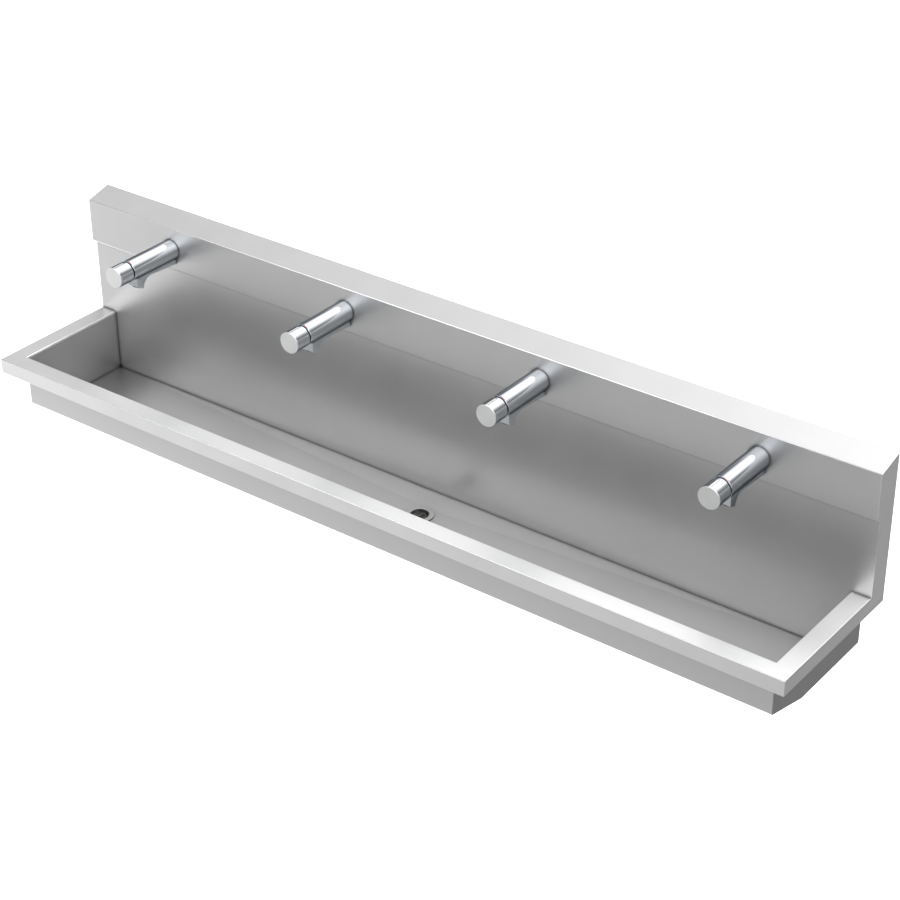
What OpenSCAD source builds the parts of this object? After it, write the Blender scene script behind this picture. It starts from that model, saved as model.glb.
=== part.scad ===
// Wall-hung trough sink in folded stainless sheet, with four self-closing mixer taps.
// Millimetres. The origin is the centre of the wall fixing, in the plane of the wall.
// X runs along the trough, Y points into the wall and Z points up.

/* [Trough] */
// Length over the end plates
trough_length = 2400; // [2100:50:3000]
// Distance from the wall to the front of the rim
trough_depth = 447; // [420:1:560]
// Width of the flat rim round the bowl
rim_width = 50; // [35:1:65]
// Height of the skirt below the rim
skirt_height = 40; // [25:1:60]
// Height of the lip that joins the rim to the bowl's walls
lip_height = 6; // [5:0.5:12]
// Depth of the bowl's front wall
front_wall_height = 140; // [100:1:160]
// Depth of the bowl at its back wall
bowl_depth = 175; // [165:1:210]
// Width of the floor, from the back wall to the slope
floor_width = 201; // [190:1:240]
// Fall of the floor from its edges to the waste
floor_fall = 8; // [4:1:16]
// Thickness of the stainless sheet
sheet = 1.5; // [1:0.1:2]
// Outer radius of the folds
fold_radius = 2.5; // [2.2:0.1:4]
// Height of the flange that turns up at the wall behind the floor
floor_flange = 30; // [15:1:60]

/* [Splashback] */
// Height of the splashback's front edge above the rim
splash_height = 330; // [310:1:420]
// Depth of the upper box, from the wall to its front
box_depth = 76; // [74:1:90]
// Height of the upper box's front
box_height = 120; // [115:1:140]
// Rise of the sloped top, from front to wall
top_rise = 20; // [10:1:35]
// How far the lower panel stands back from the upper box
step_back = 14; // [8:1:16]
// Height of the sloped step under the upper box
step_drop = 8.5; // [4:0.5:14]
// Height of the flange that turns down at the wall
wall_flange = 25; // [10:1:30]

/* [Wall fixing] */
// Distance from the splashback's front edge down to the centre of the fixing
fixing_drop = 250; // [245:1:270]
// Distance between the two bolts of a bracket
bolt_spacing = 120; // [80:1:140]
// Diameter of the bolt holes
bolt_hole = 9; // [7:0.5:11]
// Width of a bracket
bracket_width = 60; // [40:1:80]
// Reach of a bracket from the wall
bracket_reach = 50; // [46:1:54]
// Height of the brackets' upper end above the centre of the fixing
hook_height = 107; // [95:1:108]
// Depth of the brackets' lower end below the centre of the fixing
bracket_foot = 90; // [80:1:110]
// Thickness of the brackets and of the hanging rail
hook_plate = 3; // [2:0.5:4]
// Height of the rail's welded leg
hook_leg = 37; // [25:1:50]
// Height of the rail's hooked leg
hook_drop = 17; // [10:1:22]
// Distance from each end of the trough to the rail's end
rail_inset = 150; // [80:5:200]
// Distance from each end of the rail to the middle of its bracket
bracket_inset = 300; // [100:10:400]
// Thickness of the brackets' tongue in front of the rail's hooked leg
tongue = 5; // [3:0.5:6]

/* [Taps] */
// Distance from the splashback's front edge down to the tap axis
tap_drop = 63; // [61:1:66]
// Diameter of the tap body and its cap
tap_diameter = 56; // [54:1:58]
// Length of the tap body
tap_length = 163; // [155:1:190]
// Wall of the tap body
tap_wall = 4; // [3:0.5:5]
// Thickness of the body's rear wall
rear_wall = 8; // [6:1:12]
// Diameter of the threaded shank
shank_diameter = 32; // [30:1:34]
// Distance from the upper box's front to the shank's end
shank_reach = 18; // [15:0.5:19]
// Diameter of each water channel in the tap
channel_diameter = 8; // [6:0.5:9]
// Distance of the water channels from the tap axis
channel_offset = 8; // [6.5:0.5:9]
// Thickness of the gasket behind the tap
gasket = 1; // [0.5:0.1:1.5]
// Thickness of the back nut
nut_height = 8; // [5:1:9]
// Width of the back nut across its flats
nut_flats = 46; // [42:1:50]

/* [Cap] */
// Length of the cap with its face
cap_length = 47; // [44:1:60]
// Wall of the cap
cap_wall = 2.5; // [2:0.1:3]
// Thickness of the cap's face
face_thickness = 2.5; // [2:0.1:4]
// Travel of the cap when it is pressed
press_travel = 4.5; // [3:0.5:6]
// Thickness of the web that carries the cap on its stem
web_thickness = 4; // [3:0.5:5]
// Diameter of the stem
stem_diameter = 12; // [10:0.5:13]
// Width of the stem across its two flats
stem_flats = 9; // [7:0.5:9.5]
// Diameter of the stem's head
head_diameter = 19; // [16:0.5:22]
// Thickness of the stem's head
head_height = 4; // [2:0.5:4.5]
// Length of the black sleeve in front of the tap body
sleeve_length = 12; // [9:0.5:14]
// Gap between the sleeve and the inside of the cap
sleeve_gap = 3; // [1:0.5:4]
// Length of the mixing chamber in the cartridge
chamber_length = 14; // [10:1:16]
// Wall of the mixing chamber
chamber_wall = 6; // [4:0.5:8]
// Working length of the return spring
spring_length = 16; // [14:0.5:18]
// Wire diameter of the return spring
spring_wire = 1.4; // [1:0.1:1.6]
// Mean diameter of the return spring
spring_diameter = 22; // [19:0.5:26]
// Turns of the return spring
spring_turns = 4.5; // [3:0.5:5]
// Length of the spigot that holds the face in the cap
spigot_length = 3; // [2:0.5:3.5]
// Wall of the spigot
spigot_wall = 2; // [1:0.5:3]
// Distance from the cap's face to the pointer
pointer_start = 1; // [0.5:0.5:3]
// Width of the pointer on the cap
pointer_width = 5; // [3:0.5:8]
// Length of the pointer
pointer_length = 35; // [20:1:38]
// Depth of the pointer's groove
pointer_depth = 1.2; // [0.8:0.1:1.5]
// Height of the pointer above the cap's surface
pointer_rise = 0.4; // [0.1:0.1:1]

/* [Temperature marks] */
// Width of each coloured mark along the tap
mark_width = 2.5; // [1.5:0.5:4]
// Depth of each coloured mark
mark_depth = 0.6; // [0.4:0.1:1]
// Angle that each mark spans
mark_angle = 34; // [20:1:45]
// Angle between the two marks
mark_gap = 4; // [2:1:10]

/* [Spout] */
// Width of the spout
spout_width = 35; // [30:1:38]
// Depth of the arm below the tap axis at the splashback
arm_depth_rear = 37; // [35:1:42]
// Depth of the arm below the tap axis where it turns down
arm_depth_front = 31; // [30.5:0.5:34]
// Distance from the splashback to the spout's front face
spout_reach = 148; // [140:1:152]
// Thickness of the outlet from front to back
outlet_thickness = 21; // [20:1:28]
// Depth of the outlet's front edge below the tap axis
outlet_depth = 50; // [46:1:60]
// Slope of the outlet's face
outlet_angle = 25; // [15:1:30]
// Width of the ledge along the top of the arm
ledge_width = 1; // [0.5:0.1:2]
// Depth of the ledge below the tap axis
ledge_depth = 25; // [24:0.5:27]
// Diameter of the aerator
aerator_diameter = 20.6; // [18:0.1:21]
// Length of the aerator
aerator_length = 10; // [7:0.5:12]
// How far the aerator stands out of the spout
aerator_rise = 2; // [1:0.5:3]
// Width of the aerator's rim
aerator_rim = 2; // [1:0.5:3]
// Depth of the aerator's sieve inside its rim
aerator_recess = 1.5; // [0.5:0.5:4]
// Diameter of each hole in the aerator's sieve
aerator_hole = 3.2; // [2:0.2:4]

/* [Water supply] */
// Outer diameter of the supply pipes
pipe_diameter = 18; // [15:1:20]
// Wall of the supply pipes
pipe_wall = 1; // [0.8:0.1:1.5]
// Distance of each supply pipe from the tap axis
pipe_offset = 28; // [26:1:29]
// Distance from the wall to the pipes' centres
pipe_stand = 32; // [28:1:34]
// Distance from each end of the trough to the pipes' ends
pipe_inset = 80; // [60:5:120]
// Outer diameter of the threaded inlets
inlet_diameter = 20.96; // [20.9:0.01:21]
// Length of the threaded inlets
inlet_length = 18; // [14:1:20]
// Outer diameter of the boss behind each inlet
inlet_boss = 25; // [23:1:27]
// Distance from the wall to the inlets' ends
inlet_gap = 2; // [0:0.5:4]
// Width of an inlet block along the trough
block_width = 32; // [28:1:44]
// Height of an inlet block
block_height = 77; // [76:1:80]
// Distance from the pipes' centres to the back of an inlet block
block_back = 14; // [12:0.5:16]
// Width of a pipe clip along the trough
clip_width = 16; // [10:1:24]
// Height of a pipe clip
clip_height = 84; // [80:1:86]
// Distance from the pipes' centres to the open side of a clip
clip_back = 5; // [3:0.5:7]
// Distance from a tap to its pipe clip
clip_offset = 100; // [60:5:160]

/* [Waste] */
// Distance from the back wall to the centre of the waste
waste_offset = 103; // [90:1:110]
// Diameter of the flange
flange_diameter = 74; // [70:1:80]
// Thickness of the flange
flange_thickness = 1.5; // [1:0.1:2.5]
// Inner diameter of the flange's throat
throat_diameter = 49; // [44:1:52]
// Wall of the throat
throat_wall = 2; // [1.5:0.1:2.5]
// Length of the throat below the floor
throat_length = 16; // [14:1:22]
// Width of the strainer's seat in the throat
strainer_seat = 2; // [1.5:0.5:3]
// Width of the flat floor all round the flange
waste_margin = 3; // [1:1:10]
// Thickness of each seal
seal = 1; // [0.5:0.1:2]
// Depth of the strainer below the flange's top
strainer_depth = 5; // [3:0.5:8]
// Thickness of the strainer
strainer_thickness = 2; // [1.5:0.1:3]
// Width of the strainer's rings and spokes
strainer_bar = 3; // [2:0.5:4]
// Width of the strainer's boss all round the screw's head
strainer_boss = 1; // [0.5:0.5:2]
// Diameter of the waste screw
screw_diameter = 6; // [4:0.5:8]
// Diameter of the screw's head
screw_head = 11; // [9:1:14]
// Height of the screw's head
screw_height = 3; // [2:0.5:4]
// Width of the slot in the screw's head
screw_slot = 1.2; // [0.8:0.1:2]
// Width of the bridge that takes the screw
bridge_width = 10; // [8:1:14]
// Height of the bridge
bridge_height = 6; // [4:1:8]
// Wall of the waste body
waste_wall = 4; // [3:0.5:5]
// Depth of the waste body's cup
cup_depth = 30; // [28:1:45]
// Outer diameter of the threaded tail
tail_diameter = 47.8; // [47.5:0.1:48]
// Wall of the tail
tail_wall = 2.9; // [2:0.1:4]
// Length of the tail
tail_length = 60; // [40:5:100]

/* [Fits] */
// Clearance all round between pieces that turn or slide
running = 0.05; // [0.03:0.01:0.1]
// Clearance all round between pieces that stay put
fit = 0.1; // [0.05:0.01:0.15]
// Clearance all round where a piece passes through a hole or lies in a slot
pass = 0.5; // [0.3:0.1:1]
// Gap all round the pointer in its groove, and at each end of the spring
groove_gap = 0.3; // [0.2:0.1:0.5]
// Room left when the cap is pressed fully in
press_margin = 0.5; // [0.3:0.1:1]
// Width of the bevel on the tap's front edges
bevel = 0.5; // [0.3:0.1:1]

/* [Hidden] */
$fn = 96;
cut = 1;
fold_steps = 6;
tap_count = 4;

// Lengths along X
half = trough_length / 2;
bowl_half = half - rim_width;
tap_pitch = trough_length / tap_count;

// Depths along Y, with the wall at zero
y_box = -box_depth;
y_panel = step_back - box_depth;
y_front = -trough_depth;
y_bowl = y_front + rim_width;
y_slope = y_panel - floor_width;
y_waste = y_panel - waste_offset;
y_hook = -bracket_reach;

// Heights along Z, with the centre of the wall fixing at zero
z_edge = fixing_drop;
z_back = z_edge + top_rise;
z_step = z_edge - box_height;
z_rim = z_edge - splash_height;
z_lip = z_rim - lip_height;
z_skirt = z_rim - skirt_height;
z_front = z_rim - front_wall_height;
z_floor = z_rim - bowl_depth;
z_waste = z_floor - floor_fall;
z_tap = z_edge - tap_drop;

// Places along the tap axis
tap_r = tap_diameter / 2;
bore_r = tap_r - tap_wall;
shank_r = shank_diameter / 2;
stem_r = stem_diameter / 2;
y_rear = y_box - gasket;
y_bore = y_rear - rear_wall;
y_nose = y_rear - tap_length;
y_shank = y_box + shank_reach;
y_cap = y_nose - press_travel - press_margin;
y_face = y_cap - cap_length;
y_disc = y_face + face_thickness;
sleeve_r = tap_r - cap_wall - sleeve_gap;
y_sleeve = y_nose - sleeve_length;
y_web = y_sleeve - spring_length;
y_head = y_web - web_thickness - fit;
y_pointer = y_disc + pointer_start;

// Places on the spout, measured from the tap axis
y_spout = y_box - spout_reach;
y_outlet_back = y_spout + outlet_thickness;
z_outlet_back = -outlet_depth - outlet_thickness * tan(outlet_angle);
outlet_y = (y_spout + y_outlet_back) / 2;
outlet_z = (z_outlet_back - outlet_depth) / 2;
y_chamber = outlet_y + chamber_length / 2;
y_stem = y_chamber - chamber_length;

// Pieces that repeat once for each tap have the tap's number in their names
fixed_pieces = ["tap_body", "spout", "aerator", "cartridge"];
moving_pieces = ["stem", "return_spring", "cap", "cap_face", "pointer"];
tap_pieces = concat(fixed_pieces, moving_pieces);

steel = "silver";
satin = "gainsboro";
chrome = "lightsteelblue";
brass = "darkkhaki";

// Folded sheet: a path of the visible face's sharp corners, with the sheet on the path's left.

function unit(v) = v / norm(v);
function left_of(v) = [-v[1], v[0]];
function turned(v, a) = [v[0] * cos(a) - v[1] * sin(a), v[0] * sin(a) + v[1] * cos(a)];
function way_in(p, i) = i > 0 ? unit(p[i] - p[i - 1]) : unit(p[1] - p[0]);
function way_out(p, i) = i < len(p) - 1 ? unit(p[i + 1] - p[i]) : way_in(p, i);

// A corner of the path moved to the left by d, square to both of its sides
function moved(p, i, d) =
  let (a = left_of(way_in(p, i)), m = unit(a + left_of(way_out(p, i))))
  p[i] + m * d / (m * a);

// The points of one fold, on the face that lies d to the left of the path
function fold(p, i, d) =
  let (
    a = way_in(p, i),
    b = way_out(p, i),
    side = cross(a, b) > 0 ? 1 : -1,
    r = side > 0 ? fold_radius : fold_radius - sheet,
    centre = moved(p, i, side * r),
    turn = acos(a * b)
  )
  [for (k = [0:fold_steps])
    centre - side * (r - side * d) * left_of(turned(a, side * turn * k / fold_steps))];

function face_line(p, d) = concat(
  [moved(p, 0, d)],
  [for (i = [1:len(p) - 2]) each fold(p, i, d)],
  [moved(p, len(p) - 1, d)]
);

function reversed(v) = [for (i = [len(v) - 1:-1:0]) v[i]];

module sheet_shape(p) {
  polygon(concat(face_line(p, 0), reversed(face_line(p, sheet))));
}

// A flat shape in Y and Z, drawn out along X
module along_x(x0, x1) {
  translate([x0, 0, 0]) rotate([90, 0, 90]) linear_extrude(x1 - x0) children();
}

// A flat shape in X and Z, drawn out along Y
module along_y(y0, y1) {
  translate([0, y1, 0]) rotate([90, 0, 0]) linear_extrude(y1 - y0) children();
}

// A round bar along Y
module rod(r, y0, y1) {
  translate([0, y0, 0]) rotate([-90, 0, 0]) cylinder(r = r, h = y1 - y0);
}

// A round bar along Y with a bevelled front edge
module bevelled_rod(r, y0, y1) {
  translate([0, y0, 0]) rotate([-90, 0, 0]) cylinder(r1 = r - bevel, r2 = r, h = bevel);
  rod(r, y0 + bevel, y1);
}

// A round bar along Z
module post(r, z0, z1) {
  translate([0, 0, z0]) cylinder(r = r, h = z1 - z0);
}

// A rectangle from its two corners
module area(a, b) {
  translate(a) square(b - a);
}

function tap_x(i) = (i - (tap_count + 1) / 2) * tap_pitch;

module at_tap(i) {
  translate([tap_x(i), 0, z_tap]) children();
}

module at_taps() {
  for (i = [1:tap_count]) at_tap(i) children();
}

module at_waste() {
  translate([0, y_waste, z_waste]) children();
}

// Sheet metal paths, as corners in Y and Z

splash_path = [
  [0, z_back - wall_flange],
  [0, z_back],
  [y_box, z_edge],
  [y_box, z_step],
  [y_panel, z_step - step_drop],
  [y_panel, z_floor]
];

end_path = [
  [0, z_skirt],
  [0, z_back],
  [y_box, z_edge],
  [y_box, z_step],
  [y_panel, z_step - step_drop],
  [y_panel, z_skirt]
];

front_rim_path = [[y_bowl, z_lip], [y_bowl, z_rim], [y_front, z_rim], [y_front, z_skirt]];

floor_lap = 4;
slope_path = [[y_slope + floor_lap, z_floor], [y_slope, z_floor], [y_bowl, z_front], [y_bowl, z_lip]];

ledge_path = [[-sheet, z_floor + floor_flange], [-sheet, z_floor], [y_panel, z_floor]];

// The side rim's path, as corners in X and Z
side_rim_path = [[half, z_skirt], [half, z_rim], [bowl_half, z_rim], [bowl_half, z_lip]];

// The corner line along which front and side rims meet, drawn past both corners
mitre_past = 5;
mitre_out = [half + mitre_past, y_front - mitre_past];
mitre_in = [bowl_half - mitre_past, y_bowl + mitre_past];

// The floor's four faces fall from its edges to a flat round the waste
waste_flat = flange_diameter / 2 + waste_margin;

module floor_panel() {
  y0 = y_slope + floor_lap;
  rim_points = [[-bowl_half, y0], [bowl_half, y0], [bowl_half, y_panel], [-bowl_half, y_panel]];
  flat_points = [for (c = [[-1, -1], [1, -1], [1, 1], [-1, 1]]) [0, y_waste] + waste_flat * c];
  top = concat(
    [for (p = rim_points) [p[0], p[1], z_floor]],
    [for (p = flat_points) [p[0], p[1], z_waste]]
  );
  under = [for (p = top) p - [0, 0, sheet]];
  slopes = [for (k = [0:3]) [k, 4 + k, 4 + (k + 1) % 4, (k + 1) % 4]];
  faces = concat(
    slopes,
    [[7, 6, 5, 4]],
    [for (f = slopes) [f[3] + 8, f[2] + 8, f[1] + 8, f[0] + 8]],
    [[12, 13, 14, 15]],
    [for (k = [0:3]) [k, (k + 1) % 4, (k + 1) % 4 + 8, k + 8]]
  );
  polyhedron(concat(top, under), faces);
}

module trough_pan() {
  color(steel) difference() {
    union() {
      along_x(-bowl_half, bowl_half) sheet_shape(slope_path);
      floor_panel();
      along_x(-bowl_half, bowl_half) sheet_shape(ledge_path);
    }
    at_waste() post(throat_diameter / 2 + throat_wall + fit, -sheet - cut, cut);
  }
}

module splashback() {
  color(steel) difference() {
    along_x(sheet - half, half - sheet) sheet_shape(splash_path);
    for (side = [-1, 1]) {
      translate([side * (bowl_half + half) / 2, y_panel, z_floor - cut])
        translate([-rim_width / 2, -cut, 0])
        cube([rim_width, sheet + 2 * cut, z_lip - z_floor + cut]);
    }
    at_taps() rod(shank_r + pass, y_box - cut, y_box + sheet + cut);
  }
}

module front_rim() {
  color(steel) intersection() {
    along_x(-half, half) sheet_shape(front_rim_path);
    translate([0, 0, z_skirt - cut]) linear_extrude(skirt_height + 2 * cut)
      polygon([mitre_in, mitre_out, [-mitre_out[0], mitre_out[1]], [-mitre_in[0], mitre_in[1]]]);
  }
}

module end_right() {
  color(steel) union() {
    intersection() {
      along_y(y_front, y_panel) sheet_shape(side_rim_path);
      translate([0, 0, z_skirt - cut]) linear_extrude(skirt_height + 2 * cut)
        polygon([mitre_in, mitre_out, [mitre_out[0], 0], [mitre_in[0], 0]]);
    }
    along_x(half - sheet, half) polygon(face_line(end_path, 0));
  }
}

module end_left() {
  mirror([1, 0, 0]) end_right();
}

module basin_end_right() {
  color(steel) along_x(bowl_half, bowl_half + sheet)
    polygon(concat(face_line(slope_path, sheet), [[0, z_lip], [0, z_floor - sheet]]));
}

module basin_end_left() {
  mirror([1, 0, 0]) basin_end_right();
}

// The rail hooks over the brackets' upper ends
y_leg = y_panel + sheet;
y_slot = y_hook + tongue;
y_drop = y_slot + pass;
z_hook = hook_height + hook_plate;
rail_half = half - rail_inset;
bracket_x = rail_half - bracket_inset;

module hanging_rail() {
  color(satin) along_x(-rail_half, rail_half) union() {
    area([y_leg, hook_height - hook_leg], [y_leg + hook_plate, z_hook]);
    area([y_leg, hook_height], [y_drop + hook_plate, z_hook]);
    area([y_drop, hook_height - hook_drop], [y_drop + hook_plate, z_hook]);
  }
}

module wall_bracket() {
  width = bracket_width;
  color(satin) difference() {
    union() {
      translate([-width / 2, -hook_plate, -bracket_foot])
        cube([width, hook_plate, bracket_foot + hook_height]);
      for (x = [-width / 2, width / 2 - hook_plate]) {
        along_x(x, x + hook_plate) polygon([
          [0, -bracket_foot],
          [0, hook_height],
          [y_hook, hook_height],
          [y_hook, 0],
          [y_hook / 2, -bracket_foot]
        ]);
      }
    }
    for (z = [-0.5, 0.5] * bolt_spacing) translate([0, 0, z]) rod(bolt_hole / 2, -hook_plate - cut, cut);
    translate([-width / 2 - cut, y_slot, hook_height - hook_drop - pass])
      cube([width + 2 * cut, hook_plate + 2 * pass, hook_drop + pass + cut]);
  }
}

module wall_bracket_left() {
  translate([-bracket_x, 0, 0]) wall_bracket();
}

module wall_bracket_right() {
  translate([bracket_x, 0, 0]) wall_bracket();
}

// Supply pipes: side is 1 for the hot pipe above the tap axis and -1 for the cold one below
pipe_r = pipe_diameter / 2;
channel_r = channel_diameter / 2;
y_pipe = -pipe_stand;

module bar_x(r, x0, x1) {
  translate([x0, 0, 0]) rotate([0, 90, 0]) cylinder(r = r, h = x1 - x0);
}

module supply_pipe(side) {
  length = half - pipe_inset;
  bore = pipe_r - pipe_wall;
  inlet_end = pipe_stand - inlet_gap;
  translate([0, y_pipe, z_tap + side * pipe_offset]) difference() {
    union() {
      bar_x(pipe_r, -length, length);
      rod(inlet_boss / 2, 0, inlet_end - inlet_length);
      rod(inlet_diameter / 2, 0, inlet_end);
    }
    bar_x(bore, 3 * pipe_wall - length, length - 3 * pipe_wall);
    rod(bore, 0, pipe_stand + cut);
    for (i = [1:tap_count]) {
      translate([tap_x(i) + side * channel_offset, 0, 0])
        post(channel_r, side > 0 ? -pipe_r - cut : 0, side > 0 ? 0 : pipe_r + cut);
    }
  }
}

module hot_rail() {
  color("indianred") supply_pipe(1);
}

module cold_rail() {
  color("steelblue") supply_pipe(-1);
}

module pipe_bores(x0, x1) {
  for (side = [-1, 1]) translate([0, y_pipe, side * pipe_offset]) bar_x(pipe_r + fit, x0, x1);
}

module rail_clips() {
  color("dimgray") for (i = [1:tap_count]) {
    outward = tap_x(i) < 0 ? -1 : 1;
    at_tap(i) translate([outward * clip_offset, 0, 0]) difference() {
      along_x(-clip_width / 2, clip_width / 2)
        area([y_box + sheet, -clip_height / 2], [y_pipe + clip_back, clip_height / 2]);
      pipe_bores(-clip_width, clip_width);
    }
  }
}

module inlet_blocks() {
  color(brass) at_taps() difference() {
    along_x(-block_width / 2, block_width / 2)
      area([y_shank, -block_height / 2], [y_pipe + block_back, block_height / 2]);
    pipe_bores(-block_width, block_width);
    for (side = [-1, 1]) {
      translate([side * channel_offset, 0, 0]) {
        rod(channel_r, y_shank - cut, y_pipe + channel_r);
        translate([0, y_pipe, 0]) post(channel_r, side > 0 ? 0 : -pipe_offset, side > 0 ? pipe_offset : 0);
      }
    }
  }
}

module back_nuts() {
  nut_r = nut_flats / 2 / cos(30);
  color(brass) at_taps() difference() {
    translate([0, y_box + sheet, 0]) rotate([-90, 0, 0]) cylinder(r = nut_r, h = nut_height, $fn = 6);
    rod(shank_r + fit, y_box, y_box + sheet + nut_height + cut);
  }
}

module tap_gaskets() {
  color("black") at_taps() difference() {
    rod(tap_r - bevel, y_rear, y_box);
    rod(shank_r + pass, y_rear - cut, y_box + cut);
  }
}

// A wedge of the tap's round section, from angle a0 to angle a1, seen from the front
module wedge(a0, a1) {
  far = 2 * tap_r;
  middle = (a0 + a1) / 2;
  polygon([[0, 0], far * [cos(a0), sin(a0)], far * [cos(middle), sin(middle)], far * [cos(a1), sin(a1)]]);
}

// A coloured arc on the body's front edge; side is 1 for hot, right of the top, and -1 for cold
module mark(side) {
  y0 = y_nose + 2 * bevel;
  a0 = 90 - side * mark_gap / 2;
  a1 = a0 - side * mark_angle;
  intersection() {
    difference() {
      rod(tap_r, y0, y0 + mark_width);
      rod(tap_r - mark_depth, y0 - cut, y0 + mark_width + cut);
    }
    along_y(y0, y0 + mark_width) wedge(min(a0, a1), max(a0, a1));
  }
}

module hot_marks() {
  color("crimson") at_taps() mark(1);
}

module cold_marks() {
  color("teal") at_taps() mark(-1);
}

module channels(y0, y1) {
  for (side = [-1, 1]) translate([side * channel_offset, 0, 0]) rod(channel_r, y0, y1);
}

module outlet_bore(z0, z1) {
  translate([0, outlet_y, 0]) post(channel_r, z0, z1);
}

module tap_body() {
  color(chrome) difference() {
    union() {
      bevelled_rod(tap_r, y_nose, y_rear);
      rod(shank_r, y_rear - cut, y_shank);
    }
    rod(bore_r, y_nose - cut, y_bore);
    channels(y_bore - cut, y_shank + cut);
    outlet_bore(-tap_r - cut, 0);
    mark(1);
    mark(-1);
  }
}

module cartridge() {
  color("black") difference() {
    union() {
      rod(bore_r - fit, y_nose, y_bore);
      rod(sleeve_r, y_sleeve, y_nose + cut);
    }
    rod(stem_r + running, y_sleeve - cut, y_stem + cut);
    rod(bore_r - chamber_wall, y_stem, y_chamber);
    channels(y_chamber - cut, y_bore + cut);
    outlet_bore(-bore_r, 0);
  }
}

// Two flats on a round bar keep cap and stem turning together
module keyed_rod(r, flats, y0, y1) {
  intersection() {
    rod(r, y0, y1);
    translate([-flats / 2, y0, -r]) cube([flats, y1 - y0, 2 * r]);
  }
}

module stem() {
  color(brass) union() {
    rod(stem_r, y_sleeve, y_stem);
    keyed_rod(stem_r, stem_flats, y_head - cut, y_sleeve + cut);
    rod(head_diameter / 2, y_head - head_height, y_head);
  }
}

module return_spring() {
  ring_steps = 12;
  wire_sides = 6;
  steps = spring_turns * ring_steps;
  wire_r = spring_wire / 2;
  y0 = y_web + groove_gap + wire_r;
  y1 = y_sleeve - groove_gap - wire_r;
  points = [
    for (k = [0:steps])
      let (a = 360 * k / ring_steps, out = [cos(a), 0, sin(a)], y = y0 + (y1 - y0) * k / steps)
      for (s = [0:wire_sides - 1])
        let (b = 360 * s / wire_sides)
        out * (spring_diameter / 2 + wire_r * cos(b)) + [0, y + wire_r * sin(b), 0]
  ];
  sides = [
    for (k = [0:steps - 1], s = [0:wire_sides - 1])
      let (
        a = k * wire_sides + s,
        b = k * wire_sides + (s + 1) % wire_sides,
        c = b + wire_sides,
        d = a + wire_sides
      )
      each [[a, c, b], [a, d, c]]
  ];
  first = [for (s = [0:wire_sides - 1]) s];
  last = [for (s = [wire_sides - 1:-1:0]) steps * wire_sides + s];
  color("gray") polyhedron(points, concat([first], sides, [last]));
}

module cap() {
  inner_r = tap_r - cap_wall;
  color(chrome) difference() {
    rod(tap_r, y_disc, y_cap);
    rod(inner_r, y_web, y_cap + cut);
    rod(inner_r, y_disc - cut, y_web - web_thickness);
    keyed_rod(stem_r + running, stem_flats + 2 * running, y_web - web_thickness - cut, y_web + cut);
    pointer_block(groove_gap, cut);
  }
}

// The pointer's bar, or with a gap all round it the groove that it lies in
module pointer_block(gap, rise) {
  translate([-pointer_width / 2 - gap, y_pointer - gap, tap_r - pointer_depth])
    cube([pointer_width + 2 * gap, pointer_length + 2 * gap, pointer_depth + rise]);
}

module pointer() {
  color(chrome) pointer_block(0, pointer_rise);
}

module cap_face() {
  spigot_r = tap_r - cap_wall - fit;
  color("whitesmoke") union() {
    bevelled_rod(tap_r, y_face, y_disc);
    difference() {
      rod(spigot_r, y_disc - cut, y_disc + spigot_length);
      rod(spigot_r - spigot_wall, y_disc, y_disc + spigot_length + cut);
    }
  }
}

// The inner curve from the arm down to the outlet
module spout_outline() {
  curve_r = -z_outlet_back - arm_depth_front;
  curve_y = y_outlet_back + curve_r;
  steps = 16;
  polygon(concat(
    [[y_rear, -bore_r / 2], [y_spout, -bore_r / 2], [y_spout, -outlet_depth]],
    [for (k = [0:steps])
      let (a = 90 * k / steps)
      [curve_y - curve_r * cos(a), z_outlet_back + curve_r * sin(a)]],
    [[y_rear, -arm_depth_rear]]
  ));
}

// Turns its children so that their Z axis points back up into the outlet
module at_outlet() {
  translate([0, outlet_y, outlet_z]) rotate([-outlet_angle, 0, 0]) children();
}

module spout() {
  half_width = spout_width / 2;
  color(chrome) difference() {
    along_x(-half_width, half_width) spout_outline();
    for (side = [-1, 1]) {
      translate([side * half_width, (y_spout + y_rear) / 2, -ledge_depth])
        translate([-ledge_width, (y_spout - y_rear) / 2 - cut, 0])
        cube([2 * ledge_width, y_rear - y_spout + 2 * cut, ledge_depth]);
    }
    rod(tap_r + fit, y_spout - cut, y_rear + cut);
    outlet_bore(outlet_z, 0);
    at_outlet() post(aerator_diameter / 2 + fit, -cut, aerator_length - aerator_rise + fit);
  }
}

module aerator() {
  r = aerator_diameter / 2;
  color("dimgray") at_outlet() difference() {
    post(r, -aerator_rise, aerator_length - aerator_rise);
    post(r - aerator_rim, -aerator_rise - cut, aerator_recess - aerator_rise);
    for (k = [0:6]) rotate([0, 0, 60 * k]) translate([k < 6 ? r / 2 : 0, 0, 0])
      post(aerator_hole / 2, -aerator_rise, aerator_length);
  }
}

// Waste, measured from the floor's upper face at the flat
throat_r = throat_diameter / 2;
z_flange = seal + flange_thickness;
z_strainer = z_flange - strainer_depth;
z_cup = -sheet - 2 * seal;
z_cup_end = z_cup - cup_depth;
z_tail = z_cup_end - waste_wall;
tail_r = tail_diameter / 2;
tail_bore = tail_r - tail_wall;

module waste_flange() {
  r = flange_diameter / 2;
  color(steel) at_waste() difference() {
    union() {
      post(r, seal, z_flange);
      post(throat_r + throat_wall, -throat_length, z_flange);
    }
    post(throat_r, z_strainer - strainer_thickness, z_flange + cut);
    post(throat_r - strainer_seat, -throat_length - cut, z_flange);
  }
}

module ring(r_out, r_in, z0, z1) {
  difference() {
    post(r_out, z0, z1);
    post(r_in, z0 - cut, z1 + cut);
  }
}

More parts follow.
